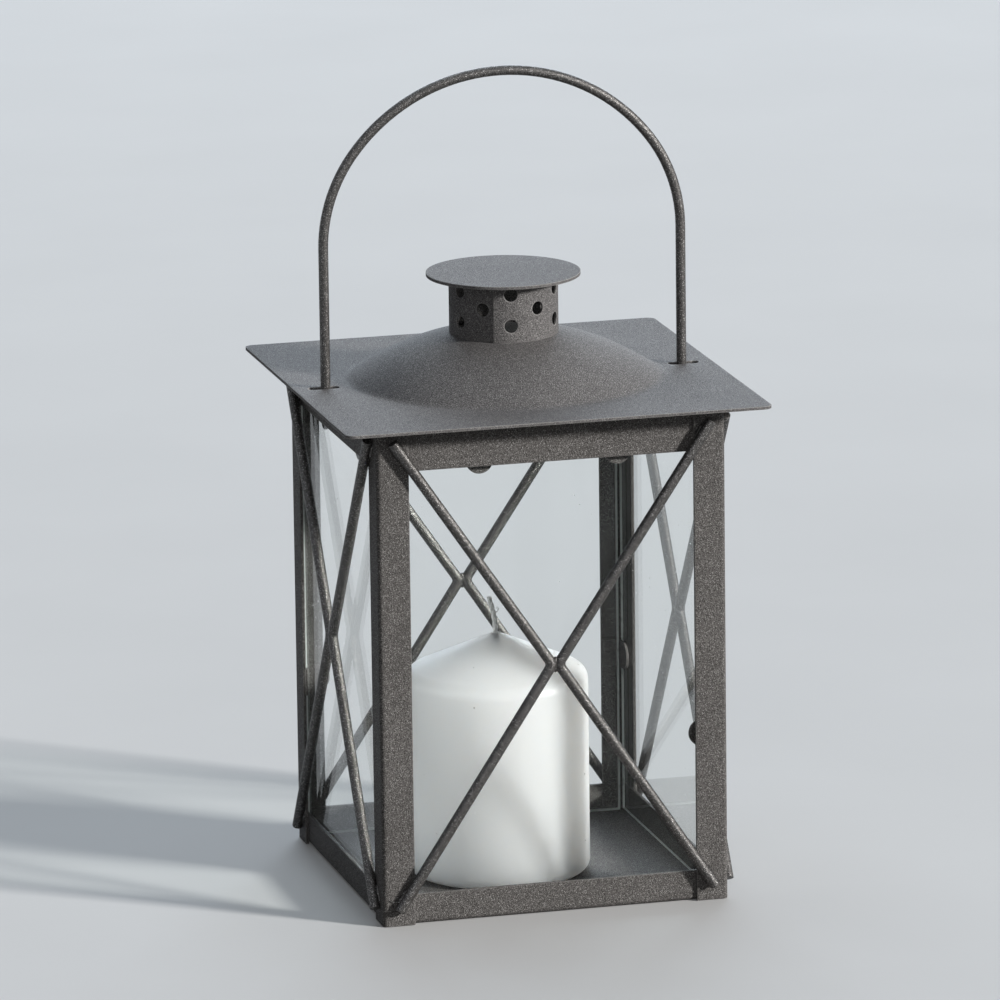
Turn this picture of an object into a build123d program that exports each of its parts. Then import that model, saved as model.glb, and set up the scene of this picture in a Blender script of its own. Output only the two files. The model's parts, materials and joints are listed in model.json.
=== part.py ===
from build123d import *
import os
from math import acos, atan2, cos, hypot, radians, sin, sqrt

os.makedirs("parts", exist_ok=True)

# Sheet metal body
body_height = 164.0  # ground to the underside of the roof
sheet = 1.0  # thickness of every cut or folded sheet piece
sheet_bend = 0.5  # inside radius of a fold
post_flange = 10.5  # width of each leg of the corner angle
tray_wall = 10.0  # height of the folded tray walls
tray_relief = 1.5  # notch that frees each tray corner for folding
top_rail_height = 15.0
rail_end_gap = 0.2  # rails stop short of each other inside the corner

# Glass and its clips
glass = 2.0
glass_play = 0.3  # pane edge to the next metal face
glass_arris = sheet_bend  # ground edges that clear the fold they stand in
pane_gap = 0.9  # pane's top edge to the handle's foot above it
clip_sheet = 0.8
clip_width = 9.0  # width of the half-round tongue
clip_reach = 3.0  # top clip's tongue, past the lower edge of the rail
clip_spread = 22.8  # top clips, out from the middle of the rail
clip_foot = 6.0  # length of the welded foot
post_clip_height = 55.0
post_clip_reach = 1.3  # post clip's tongue, past the edge of the post
clip_step = 1.0  # air between the pane's top edge and the clip's step

# Brace wires
brace_wire = 3.4
brace_bend = 3.0  # centreline radius of the V bend
brace_low = 5.2  # height of the lower wire end
brace_drop = 4.9  # upper wire end, below the roof
brace_shift = 0.8  # bend, above the middle of the two ends
brace_inset = 5.0  # wire end, in from the outer face of the next side
weld_sink = 0.2  # depth a welded wire settles into what it lies on

# Handle
handle_wire = 3.2
handle_gap = 0.5  # leg to the outer face of the posts
handle_rise = 100.3  # wire's centreline at the top, above the roof plate
handle_spread = 2.4  # how much the arch's radius exceeds the leg's distance from the middle
shoulder_centre = 9.6  # centre of the curve from leg to arch, out from the middle
foot_drop = 7.0  # hooked foot, below the roof
foot_bend = 2.6  # centreline radius of the hook
foot_tail = 2.5  # foot past the inner face of the rail
wire_play = 0.3  # wire to the edge of its hole or slot

# Roof
roof_width = 140.0
roof_overhang = 12.5  # roof edge past the outer faces of the posts
roof_corner = 3.0
slot_length = 10.4
slot_offset = 0.6  # slot's middle, out past the middle of the leg it holds
dome_ball = 87.0  # radius of the ball the dome is pressed from
dome_blend = 5.0  # radius between dome and plate
dome_margin = 2.4  # flat plate between the dome and a slot

# Chimney
collar_radius = 17.7  # outer radius of the rolled strip
collar_sheet = 0.8
collar_height = 18.8  # outer face, dome to cap
collar_ledge = 0.9  # rim of the dome's opening inside the collar
collar_seam = -115.4  # direction of the strip's outer end, degrees
collar_lap = 12.0  # overlap of the strip's ends, degrees
collar_blend = 90.0  # turn in which the outer end comes down to the ring, degrees
hole_size = 4.4
hole_columns = 12
hole_start = 18.0  # first column, on from the seam, degrees
hole_drop = 3.2  # top row of holes, below the cap
hole_pitch = 5.1  # one row of holes to the next
cap_radius = 25.0

# Candle
candle_radius = 30.0
candle_height = 80.0
candle_slope = 0.44  # fall of the cone top per unit of radius
candle_shoulder = 5.0
candle_foot = 3.5
candle_x = -5.0  # the candle stands a little off the middle
candle_y = -3.0
wick_size = 2.2
wick_free = 12.0  # wick above the wax
wick_lean = 2.2  # sideways lean of the wick's tip

# Faces and places that several pieces share
post_outer = roof_width / 2 - roof_overhang
post_inner = post_outer - sheet
rail_inner = post_inner - sheet
pane_inner = rail_inner - glass
tongue_inner = pane_inner - clip_sheet
flange_edge = post_outer - post_flange
rail_bottom = body_height - top_rail_height
roof_top = body_height + sheet
foot_height = body_height - foot_drop
pane_top = foot_height - handle_wire / 2 - pane_gap
handle_leg = post_outer + handle_gap + handle_wire / 2
handle_arch = handle_leg + handle_spread
handle_shoulder = handle_leg - shoulder_centre
arch_centre = roof_top + handle_rise - handle_arch
slot_middle = handle_leg + slot_offset
dome_foot = slot_middle - slot_length / 2 - dome_margin
dome_hole = collar_radius - collar_sheet - collar_ledge
blend_z = roof_top + dome_blend
ball_z = blend_z - sqrt((dome_ball + dome_blend) ** 2 - dome_foot**2)
collar_top = ball_z + sqrt(dome_ball**2 - collar_radius**2) + collar_height
candle_top = sheet + candle_height
side_names = ["front", "right", "back", "left"]
corner_names = ["front_right", "back_right", "back_left", "front_left"]


def turned(shape, quarter):
    return Rot(0, 0, 90 * quarter) * shape


def block(x0, x1, y0, y1, z0, z1):
    size = Box(x1 - x0, y1 - y0, z1 - z0)
    return Pos((x0 + x1) / 2, (y0 + y1) / 2, (z0 + z1) / 2) * size


def wire_along(path, thickness):
    start = Plane(origin=path @ 0, z_dir=path % 0)
    return sweep(start * Circle(thickness / 2), path=path)


def save(shape, name):
    export_step(shape, f"parts/{name}.step")


# Base tray: floor and four walls folded from one sheet
def make_tray():
    half = post_inner
    pan = block(-half, half, -half, half, 0, tray_wall)
    low_edges = pan.edges().group_by(Axis.Z)[0]
    pan = fillet(low_edges, sheet + sheet_bend)
    hollow = block(-rail_inner, rail_inner, -rail_inner, rail_inner, sheet, tray_wall + sheet)
    hollow = fillet(hollow.edges().group_by(Axis.Z)[0], sheet_bend)
    pan -= hollow
    notch = half - tray_relief
    for quarter in range(4):
        pan -= turned(block(notch, half + sheet, notch, half + sheet, -sheet, tray_wall + sheet), quarter)
    return pan


# Corner post: angle of folded sheet, drawn at the front right corner
def make_post():
    outline = Polyline(
        (post_outer, -post_outer),
        (post_outer, -flange_edge),
        (post_inner, -flange_edge),
        (post_inner, -post_inner),
        (flange_edge, -post_inner),
        (flange_edge, -post_outer),
        close=True,
    )
    angle = make_face(outline)
    corners = angle.vertices().sort_by(Axis((0, 0, 0), (1, -1, 0)))
    angle = fillet(corners[-1], sheet + sheet_bend)
    inside = angle.vertices().sort_by_distance((post_inner, -post_inner))[0]
    angle = fillet(inside, sheet_bend)
    return extrude(angle, body_height)


# Top rail: flat strip behind the post flanges, drawn at the front
def make_rail(with_hole):
    half = rail_inner - rail_end_gap
    rail = block(-half, half, -post_inner, -rail_inner, rail_bottom, body_height)
    if with_hole:
        bore = Cylinder(handle_wire / 2 + wire_play, 4 * sheet, rotation=(90, 0, 0))
        rail -= Pos(0, -post_inner, foot_height) * bore
    return rail


# Glass pane: one end runs into the corner, the other stops at the next side's clip
def make_pane():
    long_end = rail_inner - glass_play
    short_end = tongue_inner - glass_play
    pane = block(-short_end, long_end, -rail_inner, -pane_inner, sheet, pane_top)
    return chamfer(pane.edges(), glass_arris)


# Half-round tongue, tip at the origin pointing along -X, lying in XY
def tongue_face(length):
    radius = clip_width / 2
    straight = Pos((length + radius) / 2, 0) * Rectangle(length - radius, clip_width)
    return straight + Pos(radius, 0) * Circle(radius)


# Top clip: foot on the rail, a step over the pane's top edge, tongue down behind the glass
def make_top_clip():
    tip = rail_bottom - clip_reach
    step_low = pane_top + clip_step
    step_high = step_low + clip_sheet
    upright = Plane(origin=(0, -pane_inner, tip), x_dir=(0, 0, 1), z_dir=(0, 1, 0))
    clip = extrude(upright * tongue_face(step_high - tip), clip_sheet)
    half = clip_width / 2
    clip += block(-half, half, -rail_inner, -tongue_inner, step_low, step_high)
    clip += block(-half, half, -rail_inner, -rail_inner + clip_sheet, step_low, step_high + clip_foot)
    return clip


# Post clip: foot inside the post's other flange, tongue across behind the glass
def make_post_clip():
    tip = flange_edge - post_clip_reach
    across = Plane(origin=(tip, -pane_inner, post_clip_height), x_dir=(1, 0, 0), z_dir=(0, 1, 0))
    clip = extrude(across * tongue_face(post_inner - tip), clip_sheet)
    low = post_clip_height - clip_width / 2
    high = post_clip_height + clip_width / 2
    foot_x = post_inner - clip_sheet
    clip += block(foot_x, post_inner, -pane_inner, -pane_inner + clip_foot, low, high)
    return clip


# Brace: wire bent to a V, ends on one post, bend at the middle of the side
def make_brace(post):
    end = post_outer - brace_inset
    high = body_height - brace_drop
    middle = (brace_low + high) / 2 + brace_shift
    touch = brace_wire / 2 - weld_sink / 2
    slope = atan2(high - middle, end - touch)
    tip = touch - brace_bend * (1 / sin(slope) - 1)
    line = FilletPolyline((end, brace_low), (tip, middle), (end, high), radius=brace_bend)
    out = post_outer + brace_wire / 2 - weld_sink
    face = Plane(origin=(0, -out, 0), x_dir=(1, 0, 0), z_dir=(0, -1, 0))
    wire = wire_along(face * line, brace_wire)
    wire -= block(-brace_wire, 0, -out - brace_wire, -out + brace_wire, 0, body_height)
    return wire - post


# Handle: one wire, hooked feet, straight legs and an arch
def make_handle():
    turn_z = arch_centre + sqrt((handle_arch - handle_shoulder) ** 2 - shoulder_centre**2)
    scale = handle_arch / (handle_arch - handle_shoulder)
    meet_x = shoulder_centre * scale
    meet_z = arch_centre + (turn_z - arch_centre) * scale
    lean = atan2(turn_z - arch_centre, shoulder_centre) / 2
    half_x = shoulder_centre + handle_shoulder * cos(lean)
    half_z = turn_z + handle_shoulder * sin(lean)
    foot_end = rail_inner - foot_tail
    hook_x = handle_leg - foot_bend
    hook_z = foot_height + foot_bend
    hook_half = foot_bend * sin(radians(45))

    def side(sign):
        return [
            Line((sign * foot_end, foot_height), (sign * hook_x, foot_height)),
            ThreePointArc(
                (sign * hook_x, foot_height),
                (sign * (hook_x + hook_half), hook_z - hook_half),
                (sign * handle_leg, hook_z),
            ),
            Line((sign * handle_leg, hook_z), (sign * handle_leg, turn_z)),
            ThreePointArc(
                (sign * handle_leg, turn_z), (sign * half_x, half_z), (sign * meet_x, meet_z)
            ),
        ]

    arch = ThreePointArc((meet_x, meet_z), (0, arch_centre + handle_arch), (-meet_x, meet_z))
    flat = Wire(side(1) + [arch] + side(-1))
    return wire_along(Plane.XZ * flat, handle_wire)


# Roof plate: flat lid with a pressed dome, a chimney hole and two slots
def make_roof():
    reach = hypot(dome_foot, blend_z - ball_z)
    turn = acos(dome_foot / reach)
    mouth = acos(dome_hole / dome_ball)
    halfway = (turn + mouth) / 2
    bend = (turn + radians(90)) / 2

    def on_ball(radius, angle):
        return (radius * cos(angle), ball_z + radius * sin(angle))

    def on_blend(radius):
        return (dome_foot - radius * cos(bend), blend_z - radius * sin(bend))

    inner_ball = dome_ball - sheet
    outer_blend = dome_blend + sheet
    edges = [
        ThreePointArc(on_ball(dome_ball, mouth), on_ball(dome_ball, halfway), on_ball(dome_ball, turn)),
        ThreePointArc(on_ball(dome_ball, turn), on_blend(dome_blend), (dome_foot, roof_top)),
        Line((dome_foot, roof_top), (dome_foot, body_height)),
        ThreePointArc((dome_foot, body_height), on_blend(outer_blend), on_ball(inner_ball, turn)),
        ThreePointArc(on_ball(inner_ball, turn), on_ball(inner_ball, halfway), on_ball(inner_ball, mouth)),
        Line(on_ball(inner_ball, mouth), on_ball(dome_ball, mouth)),
    ]
    dome = revolve(Plane.XZ * make_face(edges), Axis.Z)
    flat = RectangleRounded(roof_width, roof_width, roof_corner) - Circle(dome_foot)
    slot = SlotOverall(slot_length, handle_wire + 2 * wire_play)
    flat -= Pos(slot_middle, 0) * slot
    flat -= Pos(-slot_middle, 0) * slot
    return dome + Pos(0, 0, body_height) * extrude(flat, sheet)


# Chimney collar: perforated strip rolled up with its outer end lapped over
def make_collar():
    inner = collar_radius - collar_sheet

    def spiral(angle):
        return collar_sheet * (1 - angle / collar_blend)

    def polar(radius, angle):
        return (radius * cos(radians(angle)), radius * sin(radians(angle)))

    steps = 6
    outer_turns = [collar_blend * i / steps for i in range(steps + 1)]
    inner_turns = [collar_lap + (collar_blend - collar_lap) * i / steps for i in range(steps + 1)]
    outer_curve = Spline([polar(collar_radius + spiral(a), a) for a in outer_turns])
    inner_curve = Spline([polar(inner + spiral(a), a) for a in inner_turns])
    back = (collar_blend + 360) / 2
    strip = make_face(
        [
            outer_curve,
            ThreePointArc(outer_curve @ 1, polar(collar_radius, back), polar(collar_radius, 0)),
            Line(polar(collar_radius, 0), outer_curve @ 0),
        ]
    )
    hollow = make_face(
        [
            inner_curve,
            ThreePointArc(inner_curve @ 1, polar(inner, back), polar(inner, collar_lap)),
            Line(polar(inner, collar_lap), inner_curve @ 0),
        ]
    )
    collar = Pos(0, 0, roof_top) * extrude(strip - hollow, collar_top - roof_top)
    reach = 2 * collar_radius
    drill = Pos(reach / 2, 0, 0) * Cylinder(hole_size / 2, reach, rotation=(0, 90, 0))
    for column in range(hole_columns):
        rows = [1] if column % 2 else [0, 2]
        for row in rows:
            height = collar_top - hole_drop - hole_pitch * row
            collar -= Pos(0, 0, height) * Rot(0, 0, hole_start + 360 / hole_columns * column) * drill
    ball = Pos(0, 0, ball_z) * Sphere(dome_ball)
    return Rot(0, 0, collar_seam) * collar - ball


# Chimney cap: flat disc
def make_cap():
    return Pos(0, 0, collar_top + sheet / 2) * Cylinder(cap_radius, sheet)


# Candle: pillar with a low cone top, bored for its wick
def make_candle():
    rim = candle_top - candle_slope * candle_radius
    profile = make_face(
        Polyline(
            (0, sheet), (candle_radius, sheet), (candle_radius, rim), (0, candle_top), close=True
        )
    )
    profile = fillet(profile.vertices().sort_by_distance((candle_radius, rim))[0], candle_shoulder)
    profile = fillet(profile.vertices().sort_by_distance((candle_radius, sheet))[0], candle_foot)
    candle = revolve(Plane.XZ * profile, Axis.Z)
    candle -= Pos(0, 0, candle_top / 2) * Cylinder(wick_size / 2, 2 * candle_top)
    return Pos(candle_x, candle_y, 0) * candle


# Wick: straight through the wax, leaning over at the tip
def make_wick():
    straight = Line((0, 0, sheet), (0, 0, candle_top))
    tip = Spline(
        [(0, 0, candle_top), (-wick_lean, 0, candle_top + wick_free)],
        tangents=[(0, 0, 1), (-wick_lean, 0, wick_free / 2)],
    )
    wick = wire_along(Wire([straight, tip]), wick_size)
    return Pos(candle_x, candle_y, 0) * wick


post = make_post()
brace_right = make_brace(post)
brace_left = mirror(brace_right, Plane.YZ)
top_clip = make_top_clip()
top_clips = Compound([Pos(-clip_spread, 0, 0) * top_clip, Pos(clip_spread, 0, 0) * top_clip])

save(make_tray(), "base_tray")
for quarter in range(4):
    side = side_names[quarter]
    save(turned(post, quarter), f"corner_post_{corner_names[quarter]}")
    save(turned(make_rail(quarter % 2 == 1), quarter), f"top_rail_{side}")
    save(turned(make_pane(), quarter), f"glass_pane_{side}")
    save(turned(top_clips, quarter), f"top_clips_{side}")
    save(turned(make_post_clip(), quarter), f"post_clip_{side}")
    save(turned(brace_right, quarter), f"brace_wire_{side}_1")
    save(turned(brace_left, quarter), f"brace_wire_{side}_2")
save(make_handle(), "handle")
save(make_roof(), "roof_plate")
save(make_collar(), "chimney_collar")
save(make_cap(), "chimney_cap")
save(make_candle(), "candle")
save(make_wick(), "wick")
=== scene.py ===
# %% [markdown]
# # A square candle lantern
# The object is a small lantern of folded steel sheet and wire, finished in a dark, finely
# textured powder coat, with four panes of glass and a white pillar candle inside.
# Its shape comes ready made, as one mesh for each real piece. This script gives every piece
# its finish, adds what only shows up close (welds, a plaited wick, the ground edges of the
# glass) and sets up the picture.

# %% Load the lantern
import json
import math
import random

import bmesh
import bpy
from mathutils import Matrix, Vector, noise

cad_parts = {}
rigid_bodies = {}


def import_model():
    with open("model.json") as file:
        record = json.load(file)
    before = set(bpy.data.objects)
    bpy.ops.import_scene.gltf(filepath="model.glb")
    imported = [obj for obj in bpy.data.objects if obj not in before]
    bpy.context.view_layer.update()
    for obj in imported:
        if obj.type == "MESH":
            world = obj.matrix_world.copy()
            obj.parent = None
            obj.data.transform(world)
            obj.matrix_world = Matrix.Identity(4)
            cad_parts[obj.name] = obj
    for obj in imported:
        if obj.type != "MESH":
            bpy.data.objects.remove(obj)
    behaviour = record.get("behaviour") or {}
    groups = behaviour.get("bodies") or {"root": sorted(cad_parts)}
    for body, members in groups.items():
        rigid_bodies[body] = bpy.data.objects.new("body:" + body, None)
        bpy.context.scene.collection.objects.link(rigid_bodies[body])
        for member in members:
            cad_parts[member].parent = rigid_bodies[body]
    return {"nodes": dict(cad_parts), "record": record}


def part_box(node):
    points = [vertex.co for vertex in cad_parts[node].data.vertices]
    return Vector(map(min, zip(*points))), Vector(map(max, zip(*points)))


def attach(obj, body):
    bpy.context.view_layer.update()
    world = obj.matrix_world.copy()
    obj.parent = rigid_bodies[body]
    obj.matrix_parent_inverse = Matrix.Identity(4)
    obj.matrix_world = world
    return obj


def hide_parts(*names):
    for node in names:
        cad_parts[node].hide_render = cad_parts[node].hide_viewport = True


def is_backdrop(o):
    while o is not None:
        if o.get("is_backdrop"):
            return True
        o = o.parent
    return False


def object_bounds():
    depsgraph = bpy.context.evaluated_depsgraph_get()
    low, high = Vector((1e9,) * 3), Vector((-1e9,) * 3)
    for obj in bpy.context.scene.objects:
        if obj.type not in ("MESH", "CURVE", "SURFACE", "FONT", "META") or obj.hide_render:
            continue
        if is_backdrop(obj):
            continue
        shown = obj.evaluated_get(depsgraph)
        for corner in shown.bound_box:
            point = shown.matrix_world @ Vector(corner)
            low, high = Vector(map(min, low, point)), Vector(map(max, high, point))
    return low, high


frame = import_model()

nodes = frame["nodes"]
record = frame["record"]
cad_low, cad_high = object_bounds()
mm = 0.001
print("nodes:", len(nodes), "size in mm:", [round(v / mm, 1) for v in cad_high - cad_low])

# %% [markdown]
# ## The camera
# The picture was taken from far away with a long lens: upright edges stay nearly parallel.
# The camera stands a little left of the front and looks down on the roof. We could place it
# by hand, but three angles, a distance and a point to aim at say the same thing more clearly,
# and anyone can change one of them without disturbing the others.

# %% Camera
view_azimuth = math.radians(-14.8)  # left of the front
view_elevation = math.radians(13.4)
view_roll = math.radians(-0.74)
view_distance = 2.978
aim_point = Vector((0.0006, 0.0099, 0.1212))
focal_share = 9.143  # focal length as a share of the picture's width

back = Vector((
    math.sin(view_azimuth) * math.cos(view_elevation),
    -math.cos(view_azimuth) * math.cos(view_elevation),
    math.sin(view_elevation),
))
level_right = Vector((math.cos(view_azimuth), math.sin(view_azimuth), 0))
level_up = back.cross(level_right)
right = level_right * math.cos(view_roll) + level_up * math.sin(view_roll)
up = level_up * math.cos(view_roll) - level_right * math.sin(view_roll)

camera_data = bpy.data.cameras.new("camera")
camera_data.sensor_width = 36
camera_data.lens = camera_data.sensor_width * focal_share
camera_data.clip_end = 50
camera = bpy.data.objects.new("camera", camera_data)
bpy.context.scene.collection.objects.link(camera)
camera.location = aim_point + back * view_distance
camera.rotation_euler = Matrix((right, up, back)).transposed().to_euler()
bpy.context.scene.camera = camera
print("lens:", round(camera_data.lens, 1), "mm, camera at", [round(v, 3) for v in camera.location])

# %% [markdown]
# ## Small helpers for shader nodes
# Every finish below is a tree of shader nodes. A few small helpers keep that short: they add a
# node and fill in its sockets, join sockets, do arithmetic, blend colours, and start a material
# or a node group. A number that is the same all over a surface is written straight on the socket
# that needs it.

# %% Node helpers
def add(tree, kind, sockets=None, **settings):
    node = tree.nodes.new(kind)
    for name, value in settings.items():
        setattr(node, name, value)
    for name, value in (sockets or {}).items():
        feed(tree, value, node.inputs[name])
    return node


def feed(tree, value, socket):
    if isinstance(value, bpy.types.NodeSocket):
        tree.links.new(value, socket)
    else:
        socket.default_value = value


def calc(tree, operation, first, second=0.0):
    node = add(tree, "ShaderNodeMath", operation=operation)
    feed(tree, first, node.inputs[0])
    feed(tree, second, node.inputs[1])
    return node.outputs[0]


def ramp(tree, value, low, high, to_low, to_high):
    sockets = {
        "Value": value, "From Min": low, "From Max": high, "To Min": to_low, "To Max": to_high}
    node = add(tree, "ShaderNodeMapRange", sockets, interpolation_type="SMOOTHSTEP")
    return node.outputs["Result"]


def mix(tree, share, first, second, blend="MIX"):
    node = add(tree, "ShaderNodeMix", data_type="RGBA", blend_type=blend)
    feed(tree, share, node.inputs["Factor"])
    feed(tree, first, node.inputs[6])  # the node's colour sockets share their names with
    feed(tree, second, node.inputs[7])  # its number sockets, so they go by position
    return node.outputs[2]


def new_material(name):
    material = bpy.data.materials.new(name)
    material.use_nodes = True
    tree = material.node_tree
    tree.nodes.clear()
    output = add(tree, "ShaderNodeOutputMaterial")
    surface = add(tree, "ShaderNodeBsdfPrincipled")
    tree.links.new(surface.outputs["BSDF"], output.inputs["Surface"])
    place = add(tree, "ShaderNodeTexCoord").outputs["Object"]
    return material, tree, surface, place


def new_group(name, inputs, outputs):
    tree = bpy.data.node_groups.new(name, "ShaderNodeTree")
    for label, kind in inputs:
        tree.interface.new_socket(label, in_out="INPUT", socket_type=kind)
    for label, kind in outputs:
        tree.interface.new_socket(label, in_out="OUTPUT", socket_type=kind)
    return tree, add(tree, "NodeGroupInput").outputs, add(tree, "NodeGroupOutput").inputs


def place_group(tree, group, **sockets):
    node = add(tree, "ShaderNodeGroup", node_tree=group)
    for name, value in sockets.items():
        feed(tree, value, node.inputs[name])
    return node.outputs


print("node helpers ready")

# %% [markdown]
# ## Floor, background and light
# A pale floor carries the lantern and catches its shadow. Seen by the camera, or mirrored in
# metal and glass, floor and surroundings are nearly white. The light that they throw back on
# the lantern is kept low, because a white floor would lift the dark left side to a flat grey.

# %% Floor and surroundings
def seen_directly(tree):
    path = add(tree, "ShaderNodeLightPath").outputs
    seen = calc(tree, "MAXIMUM", path["Is Camera Ray"], path["Is Glossy Ray"])
    return calc(tree, "MAXIMUM", seen, path["Is Transmission Ray"])


floor_half = 6.0
floor_mesh = bpy.data.meshes.new("floor")
corners = [(-floor_half, -floor_half, 0), (floor_half, -floor_half, 0),
           (floor_half, floor_half, 0), (-floor_half, floor_half, 0)]
floor_mesh.from_pydata(corners, [], [(0, 1, 2, 3)])
floor = bpy.data.objects.new("floor", floor_mesh)
floor.location.z = -0.2 * mm  # a hair below the lantern's foot
bpy.context.scene.collection.objects.link(floor)
floor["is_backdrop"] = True

pale_floor, tree, surface, place = new_material("pale_floor")
cloud = add(tree, "ShaderNodeTexNoise", {"Vector": place, "Scale": 9.0, "Detail": 4.0})
tint = mix(tree, cloud.outputs["Fac"], (0.58, 0.58, 0.58, 1), (0.62, 0.62, 0.62, 1))
seen = seen_directly(tree)
feed(tree, mix(tree, seen, (0.22, 0.215, 0.205, 1), tint), surface.inputs["Base Color"])
feed(tree, mix(tree, seen, (0, 0, 0, 1), tint), surface.inputs["Emission Color"])
surface.inputs["Emission Strength"].default_value = 0.06
surface.inputs["Roughness"].default_value = 0.9
surface.inputs["Specular IOR Level"].default_value = 0.0
floor_mesh.materials.append(pale_floor)

world = bpy.data.worlds.new("surroundings")
world.use_nodes = True
bpy.context.scene.world = world
tree = world.node_tree
tree.nodes.clear()
shown = add(tree, "ShaderNodeBackground", {"Color": (0.56, 0.59, 0.64, 1), "Strength": 1.0})
thrown = add(tree, "ShaderNodeBackground", {"Color": (0.85, 0.92, 1.0, 1), "Strength": 0.08})
either = add(tree, "ShaderNodeMixShader", {"Fac": seen_directly(tree)})
tree.links.new(thrown.outputs[0], either.inputs[1])
tree.links.new(shown.outputs[0], either.inputs[2])
output = add(tree, "ShaderNodeOutputWorld")
tree.links.new(either.outputs[0], output.inputs["Surface"])
bpy.context.scene.view_settings.view_transform = "Standard"
print("floor", 2 * floor_half, "m wide")

# %% [markdown]
# The key light stands low on the right, so that front faces are lit at a slant, left faces fall
# dark and the wires throw shadows on the posts beside them. A weak fill from the front opens the
# shadows on the candle, a cool light behind lays a sheen over the roof, and a cool light above
# does the work of the sky. A lamp's power is worked out from the level it should give: at level 1
# a matt surface that faces the lamp shows its own colour.

# %% Lamps
lit_point = Vector((0, 0, 120 * mm))  # every lamp aims at the middle of the lantern


# Azimuth in degrees to the right of the front, elevation in degrees, distance and width in metres.
def softbox(name, azimuth, elevation, distance, width, level, colour):
    lamp = bpy.data.lights.new(name, "AREA")
    lamp.shape = "SQUARE"
    lamp.size = width
    lamp.energy = level * (math.pi * distance) ** 2
    lamp.color = colour
    holder = bpy.data.objects.new(name, lamp)
    holder.visible_camera = False
    bpy.context.scene.collection.objects.link(holder)
    a, e = math.radians(azimuth), math.radians(elevation)
    towards = Vector((math.sin(a) * math.cos(e), -math.cos(a) * math.cos(e), math.sin(e)))
    holder.location = lit_point + towards * distance
    holder.rotation_euler = towards.to_track_quat("Z", "Y").to_euler()
    print(f"{name}: level {level}, {lamp.energy:.1f} W")
    return holder


softbox("key_light", 52, 18.5, 20.0, 2.0, 1.4, (1.0, 0.98, 0.955))
softbox("front_fill", -12, 20, 4.0, 2.4, 0.13, (1.0, 0.99, 0.98))
back_light = softbox("back_light", 165, 22, 6.0, 3.9, 0.70, (0.80, 0.90, 1.0))
softbox("sky_light", 180, 72, 4.0, 2.8, 0.26, (0.80, 0.90, 1.0))

# %% [markdown]
# ## Powder coat, part one: the grain
# Textured powder coat melts into tiny pimples, each about a third of a millimetre wide, with paler
# metallic flakes among them. Both the flat sheet and the round wire carry it, so the pattern is
# a node group, built once: give it a place on the surface and the number of grains per metre,
# and it returns the grain, the flakes, a broad cloudiness and a height for the bump. Noise goes
# flat along the planes of its own grid, so the pattern is first turned away from the sheet's faces.

# %% Node group: coat grain
coat_grain, given, result = new_group(
    "coat_grain",
    [("Place", "NodeSocketVector"), ("Grains", "NodeSocketFloat")],
    [("Grain", "NodeSocketFloat"), ("Flake", "NodeSocketFloat"),
     ("Cloud", "NodeSocketFloat"), ("Height", "NodeSocketFloat")],
)
tree = coat_grain
turned = add(tree, "ShaderNodeMapping", {
    "Vector": given["Place"], "Rotation": (0.6, 0.4, 0.9)}).outputs["Vector"]
pimples = add(tree, "ShaderNodeTexNoise", {
    "Vector": turned, "Scale": given["Grains"], "Detail": 1.5, "Roughness": 0.55})
grain = ramp(tree, pimples.outputs["Fac"], 0.32, 0.68, 0.0, 1.0)
cells = add(tree, "ShaderNodeTexVoronoi", {
    "Vector": turned, "Scale": calc(tree, "MULTIPLY", given["Grains"], 0.9)})
lot = add(tree, "ShaderNodeSeparateColor", {"Color": cells.outputs["Color"]}).outputs["Red"]
chosen = calc(tree, "GREATER_THAN", lot, 0.74)
spot = ramp(tree, cells.outputs["Distance"], 0.20, 0.48, 1.0, 0.0)
flake = calc(tree, "MULTIPLY", chosen, spot)
broad = add(tree, "ShaderNodeTexNoise", {"Vector": turned, "Scale": 38.0, "Detail": 3.0})
grain_height = calc(tree, "MULTIPLY", grain, 0.75)
flake_height = calc(tree, "MULTIPLY", flake, 0.25)
feed(tree, grain, result["Grain"])
feed(tree, flake, result["Flake"])
feed(tree, broad.outputs["Fac"], result["Cloud"])
feed(tree, calc(tree, "ADD", grain_height, flake_height), result["Height"])
print("coat_grain:", len(tree.nodes), "nodes")

# %% [markdown]
# Powder draws back from a sharp edge as it melts, so an edge carries less coat: it is a touch
# rounder, paler and shinier than the face beside it. The paler edge colour is also a painted
# highlight, standing in for the bright line that a lit, rounded edge catches. We could bevel every
# mesh, but then each edge of every thin sheet would need its own clean geometry. The bevel node
# looks for edges while rendering instead. The angle between its rounded normal and the real one
# tells how near an edge is.

# %% Node group: edges, paler for thin coat and as painted highlight
edge_thin_coat_and_highlight, given, result = new_group(
    "edge_thin_coat_and_highlight",
    [("Radius", "NodeSocketFloat")],
    [("Normal", "NodeSocketVector"), ("Edge", "NodeSocketFloat")],
)
tree = edge_thin_coat_and_highlight
rounded = add(tree, "ShaderNodeBevel", {"Radius": given["Radius"]}, samples=6)
true_normal = add(tree, "ShaderNodeNewGeometry").outputs["Normal"]
likeness = add(tree, "ShaderNodeVectorMath", operation="DOT_PRODUCT")
feed(tree, rounded.outputs[0], likeness.inputs[0])
feed(tree, true_normal, likeness.inputs[1])
feed(tree, rounded.outputs[0], result["Normal"])
feed(tree, ramp(tree, likeness.outputs["Value"], 0.80, 0.995, 1.0, 0.0), result["Edge"])
print("edge_thin_coat_and_highlight:", len(tree.nodes), "nodes")
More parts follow.
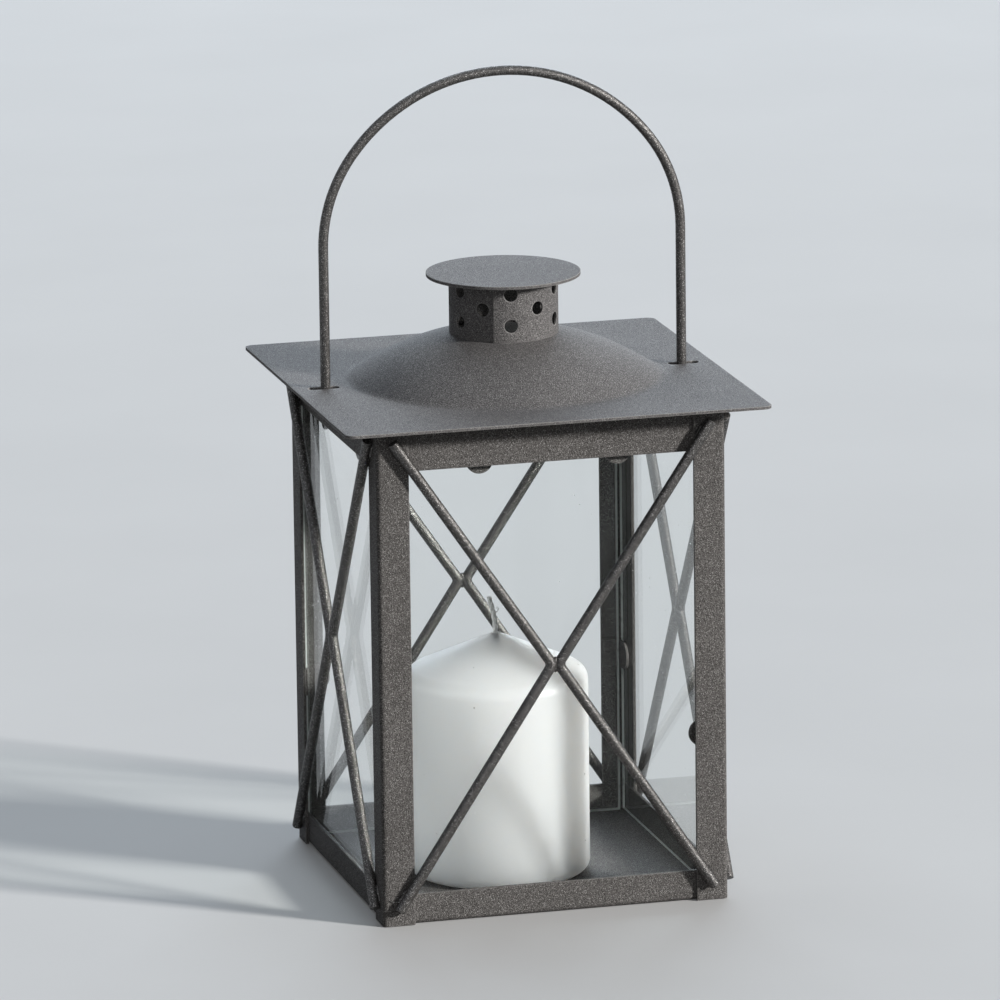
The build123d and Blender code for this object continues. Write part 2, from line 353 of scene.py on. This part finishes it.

# %% [markdown]
# ## Powder coat, part two: the finish on sheet and wire
# The coat is a dark warm grey. Its grain swings between a darker and a lighter grey, and the flakes
# are a little metallic. On upright sheet it is nearly matt. The roof and chimney lie flatter, and
# at the low angle from which they are seen they mirror the sky softly, so they get more gloss with
# a broad spread. On the thin round wires the coat looks darker and more like bare metal, with a
# bright streak where the wire faces the lamp. One function makes all three: the two greys, how
# fine and deep the grain is, how much an edge pales (thin coat, and partly painted highlight), the
# roughness of dark and of light grain, the gloss and the share of metal.

# %% Powder coat
edge_radius = 0.6 * mm
# Edges mix toward this grey for their thin coat, and also as a painted highlight.
pale_grey = (0.42, 0.41, 0.40, 1)  # metallic flakes, and edges with little coat
flake_metal = 0.2
darkest_cloud = 0.22  # how far broad clouds pull the colour to the darker grey


def powder_coat(name, dark, light, grains, bump_depth, edge_pale_and_highlight, roughness, gloss, metal):
    material, tree, surface, place = new_material(name)
    grain = place_group(tree, coat_grain, Place=place, Grains=grains)
    edge = place_group(tree, edge_thin_coat_and_highlight, Radius=edge_radius)
    colour = mix(tree, grain["Grain"], dark, light)
    cloud = ramp(tree, grain["Cloud"], 0.3, 0.7, 0.0, darkest_cloud)
    colour = mix(tree, cloud, colour, dark)
    colour = mix(tree, grain["Flake"], colour, pale_grey)
    # Every edge pales toward the flake grey: partly thin coat, partly a painted highlight.
    colour = mix(tree, calc(tree, "MULTIPLY", edge["Edge"], edge_pale_and_highlight), colour, pale_grey)
    feed(tree, colour, surface.inputs["Base Color"])
    flake = calc(tree, "MULTIPLY", grain["Flake"], flake_metal)
    feed(tree, calc(tree, "MAXIMUM", flake, metal), surface.inputs["Metallic"])
    feed(tree, ramp(tree, grain["Grain"], 0.0, 1.0, *roughness), surface.inputs["Roughness"])
    bump = add(tree, "ShaderNodeBump", {
        "Height": grain["Height"], "Normal": edge["Normal"],
        "Strength": 0.9, "Distance": bump_depth})
    feed(tree, bump.outputs["Normal"], surface.inputs["Normal"])
    surface.inputs["Specular IOR Level"].default_value = gloss
    print(name, "with", grains, "grains per metre")
    return material


sheet_coat = powder_coat(
    "sheet_coat", dark=(0.038, 0.0357, 0.0343, 1), light=(0.188, 0.179, 0.173, 1),
    grains=3400.0, bump_depth=0.10 * mm, edge_pale_and_highlight=0.40,
    roughness=(0.60, 0.46), gloss=0.05, metal=0.0)
# Roof and chimney edges pale the most, as a painted highlight on the hole rims and the seam.
roof_coat = powder_coat(
    "roof_coat", dark=(0.048, 0.0455, 0.0455, 1), light=(0.194, 0.186, 0.184, 1),
    grains=3400.0, bump_depth=0.07 * mm, edge_pale_and_highlight=0.75,
    roughness=(0.82, 0.68), gloss=0.28, metal=0.0)
wire_coat = powder_coat(
    "wire_coat", dark=(0.034, 0.0322, 0.0305, 1), light=(0.138, 0.1315, 0.1265, 1),
    grains=3000.0, bump_depth=0.05 * mm, edge_pale_and_highlight=0.20,
    roughness=(0.52, 0.40), gloss=0.42, metal=0.70)

# %% [markdown]
# ## Glass
# The panes are plain float glass with ground edges. A clean pane shows itself only by its
# reflections, by a few specks of dust and by the bright line of its ground edge. Edges are told
# from faces by the surface normal: on a pane that faces front, the normal of a face points front
# or back. Shadow and diffuse rays pass straight through, or the candle would stand in the dark.

# %% Node group: dust specks
dust_specks, given, result = new_group(
    "dust_specks",
    [("Place", "NodeSocketVector"), ("Spacing", "NodeSocketFloat"), ("Share", "NodeSocketFloat")],
    [("Speck", "NodeSocketFloat")],
)
tree = dust_specks
cells = add(tree, "ShaderNodeTexVoronoi", {
    "Vector": given["Place"], "Scale": calc(tree, "DIVIDE", 1.0, given["Spacing"])})
lots = add(tree, "ShaderNodeSeparateColor", {"Color": cells.outputs["Color"]}).outputs
chosen = calc(tree, "LESS_THAN", lots["Green"], given["Share"])
size = ramp(tree, lots["Blue"], 0.0, 1.0, 0.03, 0.11)
near = calc(tree, "LESS_THAN", cells.outputs["Distance"], size)
feed(tree, calc(tree, "MULTIPLY", chosen, near), result["Speck"])
print("dust_specks:", len(tree.nodes), "nodes")

# %% Pane glass
def pane_glass(name, facing):
    material, tree, surface, place = new_material(name)
    normal = add(tree, "ShaderNodeNewGeometry").outputs["Normal"]
    turn = add(tree, "ShaderNodeVectorMath", operation="DOT_PRODUCT")
    feed(tree, normal, turn.inputs[0])
    turn.inputs[1].default_value = facing
    ground = ramp(tree, calc(tree, "ABSOLUTE", turn.outputs["Value"]), 0.85, 0.95, 1.0, 0.0)
    dust = place_group(tree, dust_specks, Place=place, Spacing=3.2 * mm, Share=0.22)
    rough_edge = calc(tree, "MULTIPLY", ground, 0.45)
    rough_speck = calc(tree, "MULTIPLY", dust["Speck"], 0.7)
    rough = calc(tree, "MAXIMUM", rough_edge, rough_speck)
    feed(tree, rough, surface.inputs["Roughness"])
    surface.inputs["Base Color"].default_value = (0.985, 0.995, 0.99, 1)
    surface.inputs["Transmission Weight"].default_value = 1.0
    surface.inputs["IOR"].default_value = 1.2
    path = add(tree, "ShaderNodeLightPath").outputs
    let_through = calc(tree, "MAXIMUM", path["Is Shadow Ray"], path["Is Diffuse Ray"])
    clear = add(tree, "ShaderNodeBsdfTransparent", {"Color": (0.975, 0.985, 0.98, 1)})
    either = add(tree, "ShaderNodeMixShader", {"Fac": let_through})
    tree.links.new(surface.outputs["BSDF"], either.inputs[1])
    tree.links.new(clear.outputs["BSDF"], either.inputs[2])
    output = next(n for n in tree.nodes if n.type == "OUTPUT_MATERIAL")
    tree.links.new(either.outputs[0], output.inputs["Surface"])
    print(name, "facing", facing)
    return material


front_glass = pane_glass("front_glass", (0.0, 1.0, 0.0))
side_glass = pane_glass("side_glass", (1.0, 0.0, 0.0))

# %% [markdown]
# ## Wax
# Light sinks deep into white paraffin wax and comes out again elsewhere, which softens every shadow
# on it. Subsurface scattering does just that. The cast skin is smooth but never quite even, so a
# broad, faint bump and small changes in gloss break up the highlight.

# %% Candle wax
candle_wax, tree, surface, place = new_material("candle_wax")
swell = add(tree, "ShaderNodeTexNoise", {
    "Vector": place, "Scale": 60.0, "Detail": 3.0, "Roughness": 0.5})
pores = add(tree, "ShaderNodeTexNoise", {"Vector": place, "Scale": 900.0, "Detail": 2.0})
dust = place_group(tree, dust_specks, Place=place, Spacing=5.0 * mm, Share=0.20)
colour = mix(tree, swell.outputs["Fac"], (0.95, 0.95, 0.945, 1), (0.975, 0.975, 0.97, 1))
speck = calc(tree, "MULTIPLY", dust["Speck"], 0.75)
colour = mix(tree, speck, colour, (0.45, 0.43, 0.40, 1))
feed(tree, colour, surface.inputs["Base Color"])
feed(tree, ramp(tree, pores.outputs["Fac"], 0.3, 0.7, 0.34, 0.46), surface.inputs["Roughness"])
pore_height = calc(tree, "MULTIPLY", pores.outputs["Fac"], 0.03)
height = calc(tree, "ADD", swell.outputs["Fac"], pore_height)
bump = add(tree, "ShaderNodeBump", {"Height": height, "Strength": 0.35, "Distance": 0.8 * mm})
feed(tree, bump.outputs["Normal"], surface.inputs["Normal"])
surface.inputs["Subsurface Weight"].default_value = 1.0
surface.inputs["Subsurface Radius"].default_value = (1.0, 0.95, 0.9)
surface.inputs["Subsurface Scale"].default_value = 50 * mm
surface.inputs["IOR"].default_value = 1.44
print("candle_wax:", len(tree.nodes), "nodes")

# %% [markdown]
# ## Dressing the ready-made pieces
# The record says which finish each node takes. All coated pieces share one slot there, so the wires
# and the roof are picked out by name. The four panes take the glass that matches the way they face.
# The plain wick stays bare, because a plaited one takes its place below.

# %% Give every node its finish
finish_of = {part["node"]: part["material_slot"] for part in record["subparts"]}
wire_names = ("brace_wire", "handle")
roof_names = ("roof", "chimney")
dressed = 0
for name, piece in nodes.items():
    slot = finish_of[name]
    if slot == "cotton":
        continue
    if slot == "glass":
        material = front_glass if name.endswith(("front", "back")) else side_glass
    elif slot == "wax":
        material = candle_wax
    else:
        material = sheet_coat
        if name.startswith(wire_names):
            material = wire_coat
        elif name.startswith(roof_names):
            material = roof_coat
    piece.data.materials.clear()
    piece.data.materials.append(material)
    dressed += 1
print("dressed", dressed, "of", len(nodes), "nodes")

# %% [markdown]
# ## The wick
# A candle wick is a plait of cotton yarns. A smooth rod would read as wire, so the wick here is a
# real three-strand plait: each strand swings from side to side and front to back, a third of a turn
# behind the next one. A tube drawn along each strand's path gives the shape. It follows the line of
# the plain wick that it stands for: straight up through the wax, then leaning over to the left.

# %% Helpers for small pieces
def tube(bm, points, radii, sides):
    rings = []
    side_way = Vector((0, 1, 0))
    for i, point in enumerate(points):
        ahead = (points[min(i + 1, len(points) - 1)] - points[max(i - 1, 0)]).normalized()
        side_way = (side_way - ahead * side_way.dot(ahead)).normalized()
        other = ahead.cross(side_way)
        ring = []
        for j in range(sides):
            turn = 2 * math.pi * j / sides
            spoke = side_way * math.cos(turn) + other * math.sin(turn)
            ring.append(bm.verts.new(point + spoke * radii[i]))
        rings.append(ring)
    skin(bm, rings)


def skin(bm, rings):
    count = len(rings[0])
    for low, high in zip(rings, rings[1:]):
        for j in range(count):
            k = (j + 1) % count
            bm.faces.new((low[j], low[k], high[k], high[j]))
    bm.faces.new(list(reversed(rings[0])))
    bm.faces.new(rings[-1])


def make_piece(name, bm, material, body):
    bmesh.ops.recalc_face_normals(bm, faces=bm.faces)
    mesh = bpy.data.meshes.new(name)
    bm.to_mesh(mesh)
    bm.free()
    mesh.shade_smooth()
    mesh.materials.append(material)
    piece = bpy.data.objects.new(name, mesh)
    bpy.context.scene.collection.objects.link(piece)
    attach(piece, body)
    print(name, "with", len(mesh.polygons), "faces")
    return piece


# %% [markdown]
# Cotton is dull and slightly fluffy. Fine streaks along the yarn come from noise that is
# stretched in height.

# %% Cotton
cotton, tree, surface, place = new_material("cotton")
stretch = add(tree, "ShaderNodeMapping", {"Vector": place, "Scale": (1.0, 1.0, 0.35)})
fibres = add(tree, "ShaderNodeTexNoise", {
    "Vector": stretch.outputs["Vector"], "Scale": 5200.0, "Detail": 3.0, "Roughness": 0.65})
colour = mix(tree, fibres.outputs["Fac"], (0.88, 0.88, 0.86, 1), (0.99, 0.99, 0.98, 1))
feed(tree, colour, surface.inputs["Base Color"])
feed(tree, ramp(tree, fibres.outputs["Fac"], 0.3, 0.7, 0.95, 0.80), surface.inputs["Roughness"])
bump = add(tree, "ShaderNodeBump", {
    "Height": fibres.outputs["Fac"], "Strength": 0.7, "Distance": 0.08 * mm})
feed(tree, bump.outputs["Normal"], surface.inputs["Normal"])
surface.inputs["Sheen Weight"].default_value = 0.4
surface.inputs["Sheen Roughness"].default_value = 0.6
surface.inputs["Subsurface Weight"].default_value = 0.6
surface.inputs["Subsurface Radius"].default_value = (1.0, 1.0, 1.0)
surface.inputs["Subsurface Scale"].default_value = 2.5 * mm
print("cotton:", len(tree.nodes), "nodes")

# %% Plaited wick
wick_low, wick_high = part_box("wick")
candle_low, candle_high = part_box("candle")
wick_radius = 1.1 * mm
wick_free = 12 * mm  # above the wax
plait_length = 7.5 * mm  # after which a strand is back on its side
swing_wide, swing_deep = 0.36 * mm, 0.20 * mm
strand_radius = 0.52 * mm
wick_x = wick_high.x - wick_radius
wick_y = (wick_low.y + wick_high.y) / 2
wick_foot = candle_low.z
wick_tip = candle_high.z + wick_free


def wick_axis(height):
    t = max(0.0, (height - candle_high.z) / wick_free)
    return Vector((wick_x + (0.2 * t**3 - 2.4 * t**2) * mm, wick_y, height))


def strand(turn):
    points = []
    steps = 230
    for i in range(steps + 1):
        height = wick_foot + (wick_tip - wick_foot) * i / steps
        phase = turn + 2 * math.pi * height / plait_length
        swing = Vector((swing_wide * math.sin(phase), swing_deep * math.sin(2 * phase), 0))
        points.append(wick_axis(height) + swing)
    radii = [strand_radius * (1 + 0.06 * noise.noise(point * 900)) for point in points]
    radii[-2] *= 0.85  # the cut end is a little rounded
    radii[-1] *= 0.45
    return points, radii


wick_mesh = bmesh.new()
for third in range(3):
    tube(wick_mesh, *strand(2 * math.pi * third / 3), sides=9)
print("plait in mm: from", round(wick_foot / mm, 1), "up to", round(wick_tip / mm, 1))

# %% [markdown]
# A few loose hairs stand off the plait, and one longer thread curls away to the right.

# %% Loose hairs
chance = random.Random(7)
hair_radii = [0.045 * mm, 0.04 * mm, 0.03 * mm, 0.015 * mm]
for hair in range(12):
    height = candle_high.z + chance.uniform(1.0, 12.0) * mm
    turn = chance.uniform(0, 2 * math.pi)
    reach = chance.uniform(0.3, 0.7) * mm
    lift = chance.uniform(-0.4, 0.9) * mm
    root = wick_axis(height)
    out = Vector((math.cos(turn), math.sin(turn), 0))
    path = []
    for t in (0.0, 0.35, 0.7, 1.0):
        path.append(root + out * (0.7 * mm + reach * t) + Vector((0, 0, lift * t * t)))
    tube(wick_mesh, path, hair_radii, sides=5)

root = wick_axis(candle_high.z + 6.5 * mm)
curl, curl_radii = [], []
curl_steps = 12
for i in range(curl_steps + 1):
    t = i / curl_steps
    turn = 1.9 * math.pi * t
    across = 0.6 + 1.5 * t + 0.7 * math.sin(turn)
    rise = 0.9 * t + 0.7 - 0.7 * math.cos(turn)
    curl.append(root + Vector((across, -0.3 * t, rise)) * mm)
    curl_radii.append(0.16 * mm - 0.008 * mm * i)
tube(wick_mesh, curl, curl_radii, sides=6)
plaited_wick = make_piece("plaited_wick", wick_mesh, cotton, "candle")
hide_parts("wick")

# %% [markdown]
# ## A fill for the candle
# In daylight a white candle glows softly on its shaded side too, while the dark coat beside it
# stays dark. A fill strong enough for the wax would turn the left posts grey. With light linking a
# lamp lights only the pieces of one collection, so this soft lamp on the left reaches the candle
# and its wick alone. The back light is there for the roof and the rear. It leaves the same two
# pieces out, or the candle's cone would glare.

# %% Candle fill
white_pieces = bpy.data.collections.new("white_pieces")
for piece in (nodes["candle"], plaited_wick):
    white_pieces.objects.link(piece)
candle_fill = softbox("candle_fill", -80, 28, 4.0, 2.4, 0.50, (0.97, 0.99, 1.0))
candle_fill.light_linking.receiver_collection = white_pieces

left_out = bpy.data.collections.new("left_out")
for piece in white_pieces.objects:
    left_out.objects.link(piece)
for member in left_out.collection_objects:
    member.light_linking.link_state = "EXCLUDE"
back_light.light_linking.receiver_collection = left_out

# %% [markdown]
# ## Ground edges of the panes
# A cut pane is ground along its edges so that nobody is hurt by them, which leaves a frosted band.
# Frosted glass is white rather than clear, and where the lamp reaches it, a bright line
# runs up the corner and along the foot of the pane. The band is a thin frame with bevelled corners
# that lies just under the surface of the pane.

# %% Frosted glass
frosted_glass, tree, surface, place = new_material("frosted_glass")
grit = add(tree, "ShaderNodeTexNoise", {"Vector": place, "Scale": 4200.0, "Detail": 2.0})
chips = add(tree, "ShaderNodeTexNoise", {"Vector": place, "Scale": 260.0, "Detail": 3.0})
colour = mix(tree, grit.outputs["Fac"], (0.62, 0.68, 0.66, 1), (0.84, 0.89, 0.87, 1))
chipped = ramp(tree, chips.outputs["Fac"], 0.58, 0.66, 0.0, 0.6)
colour = mix(tree, chipped, colour, (0.34, 0.38, 0.37, 1))
feed(tree, colour, surface.inputs["Base Color"])
feed(tree, ramp(tree, grit.outputs["Fac"], 0.3, 0.7, 0.40, 0.60), surface.inputs["Roughness"])
bump = add(tree, "ShaderNodeBump", {
    "Height": grit.outputs["Fac"], "Strength": 0.5, "Distance": 0.04 * mm})
feed(tree, bump.outputs["Normal"], surface.inputs["Normal"])
surface.inputs["IOR"].default_value = 1.45
print("frosted_glass:", len(tree.nodes), "nodes")

# %% Ground edges
band_width = 0.35 * mm
band_bevel = 0.25 * mm
band_depth = 0.02 * mm  # below the pane's own surface


def ground_edge(name):
    low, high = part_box(name)
    thin = 0 if high.x - low.x < high.y - low.y else 1  # the way through the pane: x or y
    wide = 1 - thin
    skin_gap = Vector((band_depth,) * 3)
    low, high = low + skin_gap, high - skin_gap
    # section of the band: distance in from the pane's edge, place through the pane
    section = (
        (band_width, low[thin]), (band_bevel, low[thin]), (0.0, low[thin] + band_bevel),
        (0.0, high[thin] - band_bevel), (band_bevel, high[thin]), (band_width, high[thin]))
    bm = bmesh.new()
    rings = []
    for side, top in ((0, 0), (1, 0), (1, 1), (0, 1)):
        ring = []
        for inset, through in section:
            point = Vector((0, 0, 0))
            point[thin] = through
            point[wide] = high[wide] - inset if side else low[wide] + inset
            point.z = high.z - inset if top else low.z + inset
            ring.append(bm.verts.new(point))
        rings.append(ring)
    for ring, after in zip(rings, rings[1:] + rings[:1]):
        for j in range(len(section)):
            k = (j + 1) % len(section)
            bm.faces.new((ring[j], ring[k], after[k], after[j]))
    edge_name = name.replace("glass_pane", "ground_edge")
    piece = make_piece(edge_name, bm, frosted_glass, "frame")
    piece.data.shade_flat()


for name in nodes:
    if name.startswith("glass_pane"):
        ground_edge(name)

# %% [markdown]
# ## Welds
# Each brace wire is welded to the posts, half way across the flange, and the two bends of every X
# are welded where they touch. Weld metal flows into the narrow groove beside the wire and leaves a
# little hollow fillet. A ball pushed into the joint would look like glue, so the fillet is drawn in
# section, as five points between wire and post, and carried along the wire while its size
# swells, wavers and dies away again.

# %% Weld fillets
face_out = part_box("corner_post_front_right")[1].x  # outer face of the posts
wire_ends = (Vector((52.5, 5.2)) * mm, Vector((52.5, 159.1)) * mm)  # on the front: across, up
wire_turn = Vector((1.0, 82.95)) * mm  # where a wire's two legs would meet
weld_place = 0.049  # middle of a weld, as a share of the way from the wire's end to its bend
weld_length = 6.5 * mm


def weld_fillet(bm, middle, way, side, turn):
    across = Vector((-way.y, way.x)) * side
    rings = []
    steps = 12
    for i in range(steps + 1):
        t = i / steps
        along = (t - 0.5) * weld_length
        spot = middle + way * along
        waver = 1 + 0.30 * noise.noise(Vector((spot.x, spot.y, 0.002 * turn + side)) * 700)
        f = math.sin(math.pi * t) ** 0.5 * waver
        # millimetres out from the wire's middle, millimetres above the post
        section = (
            (0.70, -0.15), (0.78 + 0.75 * f, 0.05 + 0.75 * f), (0.95 + 0.75 * f, 0.02 + 0.36 * f),
            (1.0 + 1.2 * f, -0.02), (0.90 + 0.6 * f, -0.30))
        ring = []
        for reach, lift in section:
            flat = spot + across * reach * mm
            point = Vector((flat.x, -(face_out + lift * mm), flat.y))
            ring.append(bm.verts.new(Matrix.Rotation(turn * math.pi / 2, 3, "Z") @ point))
        rings.append(ring)
    skin(bm, rings)


# %% Weld in the middle of an X
bead_size = (1.35, 1.0, 2.5)  # half width, depth and height, in millimetres


def weld_bead(bm, turn):
    before = len(bm.verts)
    bmesh.ops.create_icosphere(bm, subdivisions=3, radius=1.0)
    bm.verts.ensure_lookup_table()
    centre = Vector((0, -(face_out + 1.5 * mm), wire_turn.y))
    for vert in bm.verts[before:]:
        swell = 1 + 0.16 * noise.noise(vert.co * 1.7 + Vector((0, 0, 9 * turn)))
        ball = vert.co * Vector(bead_size) * mm * swell
        vert.co = Matrix.Rotation(turn * math.pi / 2, 3, "Z") @ (centre + ball)


# %% [markdown]
# All welds of one side become one piece. At the lower left of the front a thin tongue of weld metal
# has run out sideways over the post.

# %% Weld pieces
side_names = ("front", "right", "back", "left")
for turn, side_name in enumerate(side_names):
    weld_mesh = bmesh.new()
    for hand in (1, -1):
        for end in wire_ends:
            middle = end.lerp(wire_turn, weld_place)
            way = (wire_turn - end).normalized()
            middle.x *= hand
            way.x *= hand
            for side in (1, -1):
                weld_fillet(weld_mesh, middle, way, side, turn)
    weld_bead(weld_mesh, turn)
    if side_name == "front":
        start = Vector((-51.3, -57.9, 7.6)) * mm
        end = Vector((-55.7, -57.6, 8.5)) * mm
        steps = 10
        points, radii = [], []
        for i in range(steps + 1):
            waver = 0.25 * mm * noise.noise(Vector((i * 0.6, 3, 1)))
            points.append(start.lerp(end, i / steps) + Vector((0, 0, waver)))
            radii.append(0.55 * mm * (1 - 0.07 * i))
        tube(weld_mesh, points, radii, sides=10)
    make_piece(f"welds_{side_name}", weld_mesh, wire_coat, "frame")

# %% [markdown]
# ## The size, and the end
# The dressed lantern has to stay as large as the bare one, so the growth of its box is printed.

# %% Sizes
new_low, new_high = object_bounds()
growth = (new_high - new_low) - (cad_high - cad_low)
print("grew by mm:", [round(v / mm, 2) for v in growth])
